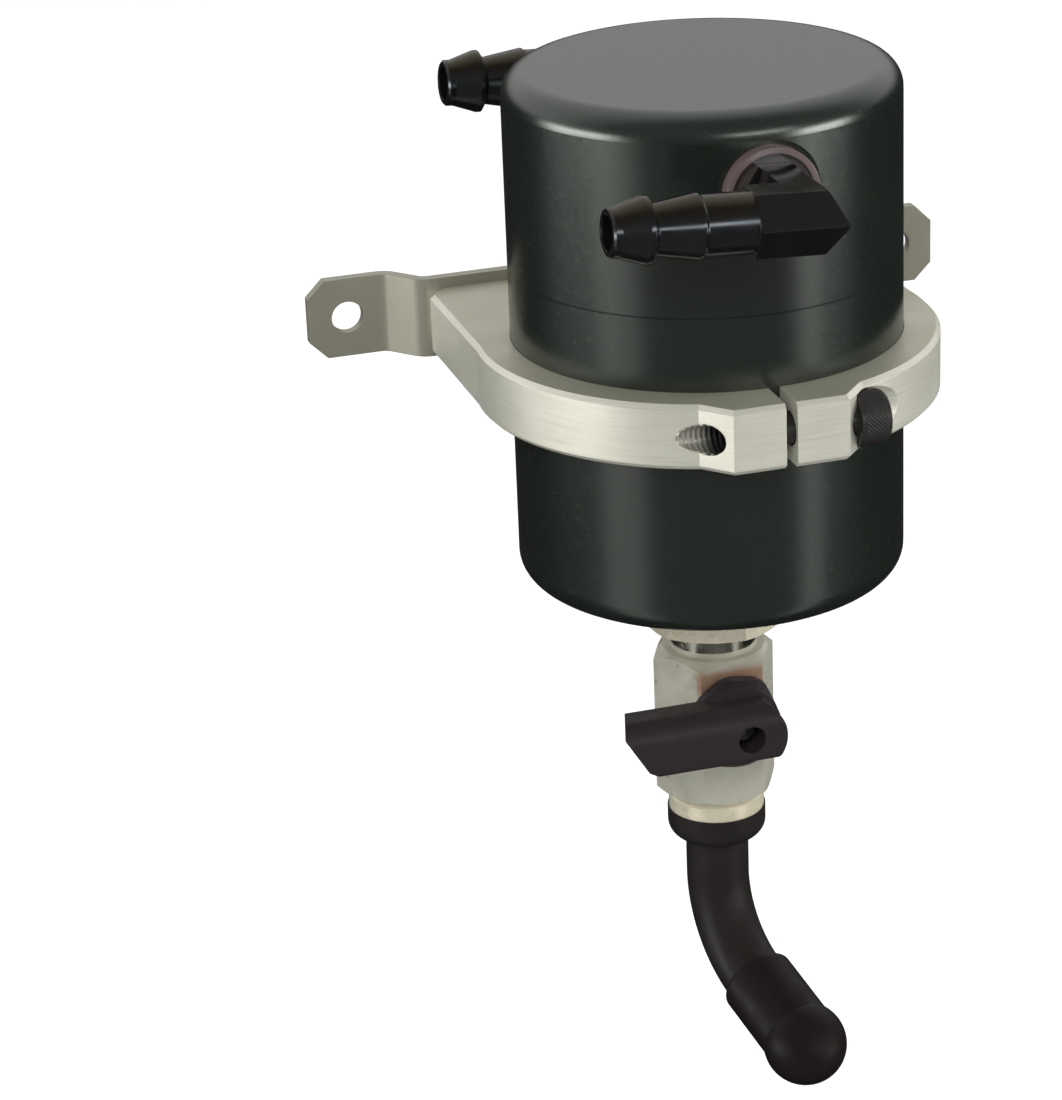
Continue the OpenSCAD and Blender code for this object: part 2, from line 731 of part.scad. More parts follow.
// Ball with its way across at rest, and a slot for the stem at the front
module valve_ball() {
    color("#cfcfca") translate([0, 0, pivot_z]) difference() {
        rotate([0, 90, 0]) rotate_extrude() intersection() {
            circle(d = ball_d);
            translate([valve_bore / 2, -ball_d]) square(2 * ball_d);
        }
        translate([-ball_d, -ball_d, -stem_d / 4]) cube([2 * ball_d, ball_d - slot_floor, stem_d / 2]);
    }
}

module valve_stem() {
    shoulder = ball_d / 2 + 0.4;
    tang_w = stem_d - 0.6;
    color("#bdb9a8") translate([0, 0, pivot_z]) {
        translate([-tang_w / 2, -shoulder - eps, -stem_d / 4 + fit_gap])
            cube([tang_w, shoulder + eps - slot_floor - fit_gap, stem_d / 2 - 2 * fit_gap]);
        difference() {
            union() {
                translate([0, -shoulder, 0]) bar_front(stem_d, -stem_tip - shoulder);
                translate([-square_w / 2, stem_tip - square_l, -square_w / 2])
                    cube([square_w, square_l + eps, square_w]);
            }
            translate([0, lever_seat + lever_screw_l + 1, 0])
                bar_front(lever_screw_d + 2 * fit_gap, lever_screw_l + 1);
        }
    }
}

module stem_seal() {
    color("#e8e6dc") translate([0, stem_y, pivot_z]) difference() {
        bar_front(stem_d + 2.2, seal_t);
        translate([0, 1, 0]) bar_front(stem_d + 2 * fit_gap, seal_t + 2);
    }
}

module gland_nut() {
    color("#c8b26a") translate([0, stem_y, pivot_z]) difference() {
        rotate([90, 0, 0]) hex_prism(gland_hex, gland_t);
        translate([0, 1, 0]) bar_front(stem_d + 2 * fit_gap, gland_t + 2);
        translate([0, eps, 0]) bar_front(stem_d + 2.2 + 2 * fit_gap, seal_t + fit_gap);
    }
}

// Outline of the lever's bar in X and Z: round past the axis, cut off at the tip
module lever_outline() {
    low = lever_up - lever_h;
    intersection() {
        polygon([
            [-lever_l, lever_up - 0.6], [-lever_l, low + 9], [-lever_l + 4.6, low + 1.5],
            [-lever_l + 7.2, low], [lever_over, low], [lever_over, lever_up], [-lever_l + 0.7, lever_up]
        ]);
        union() {
            translate([-far, -lever_h]) square([far, 2 * lever_h]);
            circle(r = lever_over);
        }
    }
}

// Plan of the bar: its tip runs back towards the hub
module lever_plan(back) {
    slant = 2.4;
    right = lever_over + 1;
    polygon([[-lever_l, -lever_front], [-lever_l + slant, -back], [right, -back], [right, -lever_front]]);
}

// Section of the bar across its length, drawn with the front to the right
module lever_section(back) {
    low = lever_up - lever_h;
    foot = 1.2;
    difference() {
        translate([back, low]) square([lever_front - back, lever_h]);
        difference() {
            translate([lever_front - lever_round, lever_up - lever_round]) square(lever_round + 1);
            translate([lever_front - lever_round, lever_up - lever_round]) circle(r = lever_round);
        }
        difference() {
            translate([lever_front - foot, low - 1]) square(foot + 1);
            translate([lever_front - foot, low + foot]) circle(r = foot);
        }
    }
}

module drain_lever() {
    bar_back = hub_back + hub_step;
    hub_r = hub_d / 2 / cos(22.5);
    turned_r = hub_r - 0.4;
    hub_turn = 8;
    flat_turn = 21;
    hub_flat = 8.2;
    color("#231f20") translate([0, 0, pivot_z]) difference() {
        union() {
            translate([0, -hub_back, 0]) rotate([90, 0, 0]) intersection() {
                rotate(22.5 - hub_turn) cylinder(r = hub_r, h = hub_t, $fn = 8);
                rotate(flat_turn) translate([-far, -far / 2, -1]) cube([far + hub_flat, far, hub_t + 2]);
                rotate_extrude() polygon([
                    [0, 0], [turned_r - 0.7, 0], [turned_r, 0.7], [turned_r, hub_step],
                    [turned_r - 1.4, hub_t], [0, hub_t]
                ]);
            }
            intersection() {
                translate([0, -bar_back, 0]) rotate([90, 0, 0]) linear_extrude(lever_front) lever_outline();
                translate([lever_over + 1, 0, 0]) rotate([90, 0, -90])
                    linear_extrude(lever_l + lever_over + 2) lever_section(bar_back);
                translate([0, 0, -lever_h]) linear_extrude(2 * lever_h) lever_plan(bar_back);
            }
        }
        translate([0, -hub_back + 1, 0])
            bar_front(gland_hex * hex_ratio + 0.8, gland_t + 0.8 - stem_y - hub_back + 1);
        translate([-square_w / 2 - fit_gap, stem_tip - square_l, -square_w / 2 - fit_gap])
            cube([square_w + 2 * fit_gap, square_l + 1, square_w + 2 * fit_gap]);
        translate([0, stem_tip, 0]) bar_front(lever_screw_d + 0.3, far);
        translate([0, lever_seat, 0]) bar_front(lever_hole, far);
    }
}

module lever_screw() {
    color("#77787a") translate([0, lever_seat, pivot_z]) difference() {
        union() {
            translate([0, lever_screw_l, 0]) bar_front(lever_screw_d, lever_screw_l + eps);
            bar_front(lever_screw_head, lever_screw_head_t);
        }
        translate([0, -lever_screw_head_t / 2, 0]) rotate([90, 0, 0]) hex_prism(2, 2);
    }
}

// Puts its children at the end of the drain elbow's bend, with +Z along the way out
module at_drain_end() {
    translate([0, 0, bend_z]) rotate(drain_turn) translate([drain_bend, 0, 0]) rotate([0, -drain_angle, 0])
        translate([-drain_bend, 0, 0]) mirror([0, 0, 1]) children();
}

// Moulded drain elbow: cuff over the valve's tail, drop, bend and end
module drain_elbow() {
    bore_r = drain_d / 2 - drain_t;
    tail_way = collar_low - cuff_low + 4;
    color("#1d1d1e") {
        rotate_extrude() difference() {
            union() {
                translate([0, bend_z]) square([drain_d / 2, drain_drop + 1]);
                difference() {
                    translate([0, cuff_low]) square([cuff_d / 2, cuff_h + cuff_foot]);
                    difference() {
                        translate([cuff_d / 2 - cuff_foot, cuff_low - 1])
                            square([cuff_foot + 1, cuff_foot + 1]);
                        translate([cuff_d / 2 - cuff_foot, cuff_low + cuff_foot]) circle(r = cuff_foot);
                    }
                }
            }
            translate([0, bend_z - 1]) square([bore_r, far]);
            translate([0, collar_low - tail_way]) square([tail_barb_d / 2 + fit_gap, far]);
        }
        translate([0, 0, bend_z]) rotate(drain_turn) pipe_bend(drain_d, drain_t, drain_bend, drain_angle);
        at_drain_end() pipe(drain_d, drain_t, cap_grip);
    }
}

// Rubber cap: a sleeve over the elbow's end and a fuller round tip
module drain_cap() {
    cap_lip = 1.2;
    color("#1f1b1c") at_drain_end() difference() {
        rotate_extrude() intersection() {
            union() {
                half_section(cap_d / 2, 0, cap_reach, 0, cap_lip);
                translate([0, cap_reach]) circle(d = cap_knob_d);
            }
            square([far, far]);
        }
        translate([0, 0, -1]) cylinder(r = drain_d / 2 + fit_gap, h = cap_grip + 1.3);
    }
}

at_can() bowl();
at_can() lid();
at_can() lid_seal();
at_can() front_elbow();
at_can() rear_elbow();
at_can() inlet_tube();
at_can() spacer_tube();
at_can() upper_screen();
at_can() mesh_element();
at_can() lower_screen();
at_can() element_rod();
at_can() element_nut();
at_can() clamp_ring();
at_can() pinch_screw();
at_can() mounting_strap();
at_can() strap_screws();
at_can() drain_adapter();
at_can() adapter_washer();
at_can() valve_body();
at_can() valve_tail();
at_can() ball_seats();
at_can() valve_ball();
at_can() valve_stem();
at_can() stem_seal();
at_can() gland_nut();
at_can() drain_lever();
at_can() lever_screw();
at_can() drain_elbow();
at_can() drain_cap();
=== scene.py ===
"""Oil catch can on its wall strap: looks round the fixed solids, in metres, in the part's own frame."""
import bpy
import math
import numpy as np
from mathutils import Matrix, Vector


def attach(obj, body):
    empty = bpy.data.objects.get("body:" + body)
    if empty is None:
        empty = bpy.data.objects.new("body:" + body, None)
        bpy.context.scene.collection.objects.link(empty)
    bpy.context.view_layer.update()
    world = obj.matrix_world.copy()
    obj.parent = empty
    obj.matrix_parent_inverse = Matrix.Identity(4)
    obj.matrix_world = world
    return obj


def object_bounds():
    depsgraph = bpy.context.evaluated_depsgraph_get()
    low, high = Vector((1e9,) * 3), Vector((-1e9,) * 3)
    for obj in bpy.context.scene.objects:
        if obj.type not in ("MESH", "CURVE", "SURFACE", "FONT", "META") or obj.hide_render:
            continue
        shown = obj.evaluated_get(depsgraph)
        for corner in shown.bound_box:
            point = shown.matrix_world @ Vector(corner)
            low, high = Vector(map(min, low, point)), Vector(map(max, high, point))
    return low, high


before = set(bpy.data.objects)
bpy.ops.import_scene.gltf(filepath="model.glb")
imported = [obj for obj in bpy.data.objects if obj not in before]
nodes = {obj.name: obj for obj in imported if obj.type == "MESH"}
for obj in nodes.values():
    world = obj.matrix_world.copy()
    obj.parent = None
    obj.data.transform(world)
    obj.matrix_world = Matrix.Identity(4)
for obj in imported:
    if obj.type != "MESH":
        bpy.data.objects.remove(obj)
cad_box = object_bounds()

MM = 0.001
TAU = 2 * math.pi
CAN_Y = -52.95 * MM                  # the can's axis lies this far in front of the wall
CAN_BOTTOM = -43.35 * MM             # height of the can's bottom
CAN_R = 38.1 * MM
CLAMP_R = CAN_R + 7.1 * MM
JOINT_Z = CAN_BOTTOM + 64 * MM       # where the lid meets the bowl
PORT_Z = CAN_BOTTOM + 86.8 * MM      # height of the two elbows' port axis
NECK_Z = CAN_BOTTOM - 16.2 * MM      # the valve's polished neck starts at this height
SCREW_Y = CAN_Y - 43.4 * MM          # the pinch screw's axis runs along X here, at height 0
HEAD_SEAT = 13.6 * MM                # where the pinch screw's head bears on the right lug
HEAD_R = 4.95 * MM
FLANGE_FACE = CAN_R + 2.0 * MM       # the elbows' flanges end this far from the can's axis, along Y
FLANGE_RIM = 8.05 * MM               # the paler rim of a flange, a painted reflection, starts this far from the port axis
LUG_FLANK = -15.13 * MM              # X of the left lug's slanting flank, at the pinch screw's axis
FLOOR_GAP = 20 * MM                  # the floor clears the pulled cap
NOISE_SPAN = (0.3, 0.7)              # nearly all values of a noise texture lie in this span


def math_node(tree, what, a, b=0.0):
    """Math node of a tree, where a and b are numbers or sockets."""
    n = tree.nodes.new("ShaderNodeMath")
    n.operation = what
    for i, value in enumerate((a, b)):
        if isinstance(value, (int, float)):
            n.inputs[i].default_value = value
        else:
            tree.links.new(value, n.inputs[i])
    return n.outputs[0]


class Finish:
    """A node material with short calls: every texture reads Object coordinates.
    The plain colour and roughness stand wherever no texture is linked in their place."""

    def __init__(self, name, color, rough, metal=0.0, **sockets):
        self.mat = bpy.data.materials.new(name)
        self.mat.use_nodes = True
        self.tree = self.mat.node_tree
        self.shader = self.tree.nodes["Principled BSDF"]
        self.shader.inputs["Base Color"].default_value = (*color, 1)
        self.shader.inputs["Roughness"].default_value = rough
        self.shader.inputs["Metallic"].default_value = metal
        for key, value in sockets.items():
            self.shader.inputs[key.replace("_", " ")].default_value = value
        self.coords = self.tree.nodes.new("ShaderNodeTexCoord").outputs["Object"]

    def node(self, kind, **values):
        n = self.tree.nodes.new("ShaderNode" + kind)
        for key, value in values.items():
            setattr(n, key, value)
        return n

    def link(self, a, b):
        self.tree.links.new(a, b)

    def place(self, scale=(1, 1, 1), turn=(0, 0, 0)):
        """Object coordinates stretched by scale, then turned."""
        n = self.node("Mapping")
        n.inputs["Scale"].default_value = scale
        n.inputs["Rotation"].default_value = turn
        self.link(self.coords, n.inputs["Vector"])
        return n.outputs["Vector"]

    def noise(self, scale, detail=3.0, rough=0.5, where=None):
        """Soft random pattern, finer with a larger scale."""
        n = self.node("TexNoise")
        n.inputs["Scale"].default_value = scale
        n.inputs["Detail"].default_value = detail
        n.inputs["Roughness"].default_value = rough
        self.link(where or self.coords, n.inputs["Vector"])
        return n.outputs["Fac"]

    def ramp(self, fac, low, high, at=(0.0, 1.0)):
        """Goes from low to high as fac crosses the pair of values at, and is level outside them."""
        n = self.node("MapRange")
        n.inputs["From Min"].default_value, n.inputs["From Max"].default_value = at
        n.inputs["To Min"].default_value, n.inputs["To Max"].default_value = low, high
        self.link(fac, n.inputs["Value"])
        return n.outputs["Result"]

    def maths(self, what, a, b=0.0):
        return math_node(self.tree, what, a, b)

    def axes(self):
        n = self.node("SeparateXYZ")
        self.link(self.coords, n.inputs[0])
        return n.outputs

    def facing_up(self, low, high):
        """Goes from 0 to 1 as the height of the surface's own unit normal goes from low to high."""
        n = self.node("SeparateXYZ")
        self.link(self.node("TexCoord").outputs["Normal"], n.inputs[0])
        return self.ramp(n.outputs[2], 0.0, 1.0, (low, high))

    def tint(self, fac, a, b):
        """Colour a where fac is 0 and b where it is 1, each a colour or a socket."""
        n = self.node("Mix", data_type="RGBA")
        self.link(fac, n.inputs["Factor"])
        for socket, value in ((n.inputs["A"], a), (n.inputs["B"], b)):
            if isinstance(value, tuple):
                socket.default_value = (*value, 1)
            else:
                self.link(value, socket)
        return n.outputs["Result"]

    def color(self, value):
        self.link(value, self.shader.inputs["Base Color"])
        return self

    def rough(self, value):
        self.link(value, self.shader.inputs["Roughness"])
        return self

    def bump(self, height, depth, soft_edge=0.0):
        """Relief of height 0 to 1 times depth in metres, over edges rounded by soft_edge in metres."""
        n = self.node("Bump")
        n.inputs["Strength"].default_value = 1.0
        n.inputs["Distance"].default_value = depth
        self.link(height, n.inputs["Height"])
        if soft_edge:
            b = self.node("Bevel", samples=4)
            b.inputs["Radius"].default_value = soft_edge
            self.link(b.outputs["Normal"], n.inputs["Normal"])
        self.link(n.outputs["Normal"], self.shader.inputs["Normal"])
        return self


def anodised_black(name):
    """Black anodised aluminium; the joint of lid and bowl mirrors little, so it reads as a dark line."""
    f = Finish(name, (0.008, 0.0105, 0.0085), 0.25, IOR=1.85, Specular_Tint=(0.94, 1.0, 0.92, 1))
    cloud = f.noise(60, 4.0)
    f.color(f.tint(cloud, (0.0062, 0.0090, 0.0066), (0.0098, 0.0132, 0.0102)))
    f.rough(f.ramp(f.noise(900, 3.0), 0.235, 0.275, NOISE_SPAN))
    from_joint = f.maths("ABSOLUTE", f.maths("SUBTRACT", f.axes()[2], JOINT_Z))
    line = f.ramp(from_joint, 0.18, 0.5, (0.10 * MM, 0.28 * MM))
    f.link(line, f.shader.inputs["Specular IOR Level"])
    return f.bump(f.noise(1300, 2.0), 0.003 * MM)


def machined_aluminium(name):
    """Bare aluminium, pale on its sides and painted greyer on its top as painted shade, with the cutter's
    fine level lines.
    """
    f = Finish(name, (0.80, 0.78, 0.72), 0.40, 0.55)
    lines = f.noise(60, 3.0, 0.6, f.place((1.2, 1.2, 110)))
    cloud = f.noise(45, 3.0)
    drawn = f.ramp(f.maths("ADD", lines, cloud), 0.0, 1.0, (0.75, 1.25))
    side = f.tint(drawn, (0.69, 0.68, 0.575), (0.84, 0.83, 0.73))
    # faces that look up get a greyer colour: painted shade
    f.color(f.tint(f.facing_up(0.8, 0.97), side, (0.52, 0.51, 0.405)))
    f.rough(f.ramp(lines, 0.30, 0.48, NOISE_SPAN))
    return f.bump(lines, 0.020 * MM, 0.2 * MM)


def strap_steel(name):
    """Dull rolled steel with grain along the strap."""
    f = Finish(name, (0.35, 0.34, 0.27), 0.38, 0.5)
    grain = f.noise(160, 3.0, 0.6, f.place((1, 6, 22)))
    f.color(f.tint(f.noise(50, 3.0), (0.30, 0.29, 0.225), (0.41, 0.395, 0.325)))
    f.rough(f.ramp(grain, 0.30, 0.44, NOISE_SPAN))
    return f.bump(grain, 0.008 * MM, 0.25 * MM)


def plain_steel(name, color, rough):
    """Clean bare metal of any colour."""
    f = Finish(name, color, rough, 1.0)
    f.rough(f.ramp(f.noise(400, 3.0), rough - 0.05, rough + 0.07, NOISE_SPAN))
    return f.bump(f.noise(1200, 2.0), 0.004 * MM, 0.12 * MM)


def tapped_metal(name):
    """Thread metal: pale where the cut runs out at the lug's flank, and painted dark from 2 mm further in,
    as painted shade inside the hole.
    """
    f = Finish(name, (0.30, 0.30, 0.27), 0.3, 0.8)
    depth = f.ramp(f.axes()[0], 0.0, 1.0, (LUG_FLANK - 1.07 * MM, LUG_FLANK + 1.93 * MM))
    # painted shade: the thread darkens from its mouth towards the inside of the hole
    f.color(f.tint(depth, (0.55, 0.54, 0.47), (0.035, 0.035, 0.033)))
    return f.bump(f.noise(1200, 2.0), 0.004 * MM)


def knitted_wire(name):
    """Crossing wave bands read as wire loops pressed together; their low parts are painted dark, as
    painted shade between the loops.
    """
    f = Finish(name, (0.50, 0.49, 0.47), 0.3, 1.0)
    loops = []
    for turn in (0.6, -0.6):
        w = f.node("TexWave", wave_type="BANDS", bands_direction="X")
        w.inputs["Scale"].default_value = 330
        w.inputs["Distortion"].default_value = 3.0
        w.inputs["Detail"].default_value = 2.0
        f.link(f.place(turn=(turn, turn, turn)), w.inputs["Vector"])
        loops.append(w.outputs["Fac"])
    h = f.maths("MAXIMUM", *loops)
    # painted shade: low parts of the loops dark, high parts pale
    f.color(f.tint(h, (0.05, 0.05, 0.05), (0.62, 0.61, 0.58)))
    return f.bump(h, 0.25 * MM)


def glossy_nylon(name):
    """Black nylon. Its gloss is tinted from bluish to brownish where it faces up, a painted reflection,
    and its moulded flange is painted paler, with a pinkish grey rim, as painted reflection. off is the
    distance from the can's axis along Y, and out the distance from the port's own axis."""
    f = Finish(name, (0.005, 0.005, 0.006), 0.22, Specular_IOR_Level=1.0)
    x, y, z = f.axes()
    off = f.maths("ABSOLUTE", f.maths("SUBTRACT", y, CAN_Y))
    high = f.maths("SUBTRACT", z, PORT_Z)
    out = f.maths("SQRT", f.maths("ADD", f.maths("MULTIPLY", x, x), f.maths("MULTIPLY", high, high)))
    # painted reflection: the flange face is painted paler than the black nylon, and its rim paler still
    flange = f.ramp(off, 1.0, 0.0, (FLANGE_FACE - 0.2 * MM, FLANGE_FACE + 0.2 * MM))
    rim = f.ramp(out, 0.0, 1.0, (FLANGE_RIM - 0.15 * MM, FLANGE_RIM + 0.15 * MM))
    black = f.tint(f.noise(80, 3.0), (0.0030, 0.0030, 0.0034), (0.0065, 0.0056, 0.0055))
    f.color(f.tint(flange, black, f.tint(rim, (0.070, 0.056, 0.052), (0.150, 0.110, 0.112))))
    f.rough(f.ramp(f.noise(220, 4.0), 0.13, 0.22, NOISE_SPAN))
    # painted reflection: the gloss is tinted brownish on faces that look up and bluish on the others
    gloss = f.tint(f.facing_up(0.35, 0.70), (0.82, 0.91, 1.0), (0.52, 0.43, 0.25))
    f.link(gloss, f.shader.inputs["Specular Tint"])
    return f.bump(f.noise(500, 3.0), 0.012 * MM, 0.25 * MM)


def plated(name, pale, dark, rough, valve=False):
    """Nickel or zinc plate, clouded from dark to pale.
    The valve also has a rusty band on its front flat, right above the lever's hub, and a polished neck."""
    f = Finish(name, pale, rough, 0.4)
    base = f.tint(f.ramp(f.noise(90, 4.0, 0.6), 0.0, 1.0, (0.35, 0.65)), dark, pale)
    sheen = f.ramp(f.noise(350, 3.0), rough - 0.07, rough + 0.10, NOISE_SPAN)
    if valve:
        _, y, z = f.axes()
        ragged = f.maths("ADD", z, f.ramp(f.noise(170, 3.0, 0.55), -1.2 * MM, 1.2 * MM))
        above_hub = f.ramp(z, 0.0, 1.0, (-71.5 * MM, -66.5 * MM))
        below_bevel = f.ramp(ragged, 1.0, 0.0, (-62.9 * MM, -61.6 * MM))
        front_flat = f.ramp(y, 1.0, 0.0, (-63.4 * MM, -62.6 * MM))
        rust = f.maths("MULTIPLY", f.maths("MULTIPLY", above_hub, front_flat), below_bevel)
        base = f.tint(f.maths("MULTIPLY", rust, 0.9), base, (0.43, 0.255, 0.17))
        neck = f.ramp(z, 0.0, 1.0, (NECK_Z - 0.2 * MM, NECK_Z))
        f.link(f.ramp(neck, 0.4, 1.0), f.shader.inputs["Metallic"])
        sheen = f.maths("SUBTRACT", sheen, f.ramp(neck, 0.0, 0.13))
    f.color(base)
    f.rough(sheen)
    return f.bump(f.noise(500, 2.0), 0.004 * MM)


def moulded_lever(name):
    """Dark plum-black moulding with a dull skin."""
    f = Finish(name, (0.019, 0.014, 0.016), 0.45, Specular_IOR_Level=0.2)
    f.color(f.tint(f.noise(120, 3.0), (0.019, 0.015, 0.0165), (0.027, 0.021, 0.023)))
    f.rough(f.ramp(f.noise(500, 3.0), 0.36, 0.50, NOISE_SPAN))
    return f.bump(f.noise(1500, 2.0), 0.012 * MM, 0.45 * MM)


def rubber(name, dark, pale, rough):
    """Black rubber, clouded from dark to pale."""
    f = Finish(name, dark, rough, Specular_IOR_Level=0.12)
    f.color(f.tint(f.noise(100, 4.0), dark, pale))
    f.rough(f.ramp(f.noise(300, 3.0), rough - 0.06, rough + 0.08, NOISE_SPAN))
    return f.bump(f.noise(900, 3.0), 0.018 * MM, 0.3 * MM)


def oxide_black(name):
    """Blackened screw steel."""
    f = Finish(name, (0.030, 0.028, 0.027), 0.33, 0.4)
    f.color(f.tint(f.noise(300, 3.0), (0.018, 0.017, 0.016), (0.05, 0.046, 0.042)))
    f.rough(f.ramp(f.noise(700, 3.0), 0.26, 0.42, NOISE_SPAN))
    return f.bump(f.noise(1500, 2.0), 0.006 * MM, 0.12 * MM)


def seat_plastic(name):
    """White slippery plastic of the valve's seals."""
    f = Finish(name, (0.85, 0.84, 0.80), 0.4)
    f.color(f.tint(f.noise(200, 2.0), (0.80, 0.79, 0.74), (0.88, 0.87, 0.83)))
    return f.bump(f.noise(900, 2.0), 0.005 * MM)


FINISHES = {
    "bowl": anodised_black("bowl_anodised"),
    "lid": anodised_black("lid_anodised"),
    "lid_seal": rubber("seal_rubber", (0.010, 0.010, 0.010), (0.020, 0.020, 0.020), 0.5),
    "front_elbow": glossy_nylon("front_elbow_nylon"),
    "rear_elbow": glossy_nylon("rear_elbow_nylon"),
    "inlet_tube": plain_steel("inlet_tube_aluminium", (0.72, 0.73, 0.74), 0.3),
    "spacer_tube": plain_steel("spacer_aluminium", (0.72, 0.73, 0.74), 0.25),
    "upper_screen": plain_steel("upper_screen_steel", (0.60, 0.61, 0.62), 0.28),
    "lower_screen": plain_steel("lower_screen_steel", (0.60, 0.61, 0.62), 0.28),
    "mesh_element": knitted_wire("mesh_wire"),
    "element_rod": plain_steel("rod_steel", (0.58, 0.58, 0.58), 0.25),
    "element_nut": plain_steel("nut_steel", (0.62, 0.62, 0.60), 0.3),
    "clamp_ring": machined_aluminium("clamp_aluminium"),
    "pinch_screw": oxide_black("pinch_screw_oxide"),
    "mounting_strap": strap_steel("strap_steel"),
    "strap_screws": plain_steel("strap_screw_steel", (0.50, 0.50, 0.51), 0.28),
    "drain_adapter": plated("adapter_nickel", (0.88, 0.82, 0.66), (0.80, 0.73, 0.56), 0.28),
    "adapter_washer": plain_steel("washer_copper", (0.62, 0.36, 0.20), 0.35),
    "valve_body": plated("valve_plate", (0.58, 0.57, 0.48), (0.48, 0.475, 0.39), 0.34, True),
    "valve_tail": plated("tail_nickel", (0.80, 0.74, 0.58), (0.71, 0.65, 0.48), 0.30),
    "ball_seats": seat_plastic("ball_seat_plastic"),
    "valve_ball": plain_steel("ball_chrome", (0.78, 0.78, 0.76), 0.10),
    "valve_stem": plain_steel("stem_steel", (0.62, 0.60, 0.52), 0.25),
    "stem_seal": seat_plastic("stem_seal_plastic"),
    "gland_nut": plain_steel("gland_brass", (0.68, 0.55, 0.26), 0.3),
    "drain_lever": moulded_lever("lever_moulding"),
    "lever_screw": plain_steel("lever_screw_steel", (0.22, 0.22, 0.23), 0.35),
    "drain_elbow": rubber("drain_elbow_rubber", (0.012, 0.0105, 0.010), (0.022, 0.019, 0.0175), 0.42),
    "drain_cap": rubber("drain_cap_rubber", (0.008, 0.006, 0.006), (0.014, 0.010, 0.010), 0.46),
}
for node_name, finish in FINISHES.items():
    cad = nodes[node_name]
    cad.data.materials.clear()
    cad.data.materials.append(finish.mat)


def grid_piece(name, points, body, slot, finish=None):
    """Closed ring of a (rows, columns, 3) array of points: both the rows and the columns run round."""
    rows, cols = points.shape[:2]
    i, j = np.meshgrid(np.arange(rows), np.arange(cols), indexing="ij")
    a = i * cols + j
    b = ((i + 1) % rows) * cols + j
    c = ((i + 1) % rows) * cols + (j + 1) % cols
    d = i * cols + (j + 1) % cols
    mesh = bpy.data.meshes.new(name)
    faces = np.stack([a, b, c, d], -1).reshape(-1, 4)
    mesh.from_pydata(points.reshape(-1, 3).tolist(), [], faces.tolist())
    mesh.polygons.foreach_set("use_smooth", np.ones(len(mesh.polygons), bool))
    mesh.update()
    obj = bpy.data.objects.new(name, mesh)
    bpy.context.scene.collection.objects.link(obj)
    obj.data.materials.append((finish or FINISHES[slot]).mat)
    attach(obj, body)


def triangle(t):
    """Triangle wave of period 1: 0 at whole numbers, 1 half way between them."""
    return 1 - np.abs(2 * (t % 1.0) - 1)


def knurled_band():
    """Band round the pinch screw's head: radius = base + height * min of two crossing triangle waves,
    one turning right and one turning left along X. The waves fade in over the first twelfth of the
    length and out over the last, and the columns close through a smaller inner radius."""
    ribs, rows, cols = 40, 320, 40
    base, height, length, sunk = HEAD_R - 0.04 * MM, 0.24 * MM, 4.9 * MM, 0.5 * MM
    angle = np.linspace(0, TAU, rows, endpoint=False)[:, None]
    along = np.concatenate([[0.0], np.linspace(0, 1, cols), [1.0]])[None, :]
    twist = along * length / (TAU * HEAD_R / ribs)
    crest = np.minimum(triangle(angle * ribs / TAU + twist), triangle(angle * ribs / TAU - twist))
    fade = np.clip(np.minimum(along, 1 - along) * 12, 0, 1)
    radius = base + height * crest * fade
    radius[:, [0, -1]] = HEAD_R - sunk
    x = HEAD_SEAT + sunk + along * length + 0 * angle
    return np.stack([x, SCREW_Y + radius * np.cos(angle), radius * np.sin(angle)], -1)


def lug_thread():
    """Tapped hole of the left lug: radius = root - depth * triangle wave of (angle / turn + x / pitch).
    Its outer end follows the lug's slanting flank, x = flank - slope * y, or the ring's round side
    where that lies further out, and stays inside the metal by a small inset. y is how far a point
    of the hole's edge lies behind the screw's axis, and back is the radius of the hidden closing side."""
    pitch, depth, root, back = 1.0 * MM, 0.5 * MM, 3.06 * MM, 3.10 * MM
    rows, cols = 96, 60
    hole_r, slope, inset, inner_x = 3.0 * MM, 8.1 / 9.1, 0.15 * MM, -9.9 * MM
    angle = np.linspace(0, TAU, rows, endpoint=False)[:, None]
    y = hole_r * np.cos(angle)
    from_axis = SCREW_Y - CAN_Y + y
    ring_x = -np.sqrt(np.maximum(CLAMP_R ** 2 - from_axis ** 2, 0))
    outer_x = np.minimum(LUG_FLANK - slope * y, ring_x) + inset
    along = np.concatenate([[0.0], np.linspace(0, 1, cols), [1.0]])[None, :]
    x = inner_x + (outer_x - inner_x) * along
    radius = root - depth * triangle(x / pitch + angle / TAU)
    radius[:, [0, -1]] = back
    return np.stack([x, SCREW_Y + radius * np.cos(angle), radius * np.sin(angle)], -1)


grid_piece("screw_head_knurl", knurled_band(), "can_body", "pinch_screw")
grid_piece("lug_tapped_thread", lug_thread(), "can_body", "clamp_ring", tapped_metal("thread_aluminium"))


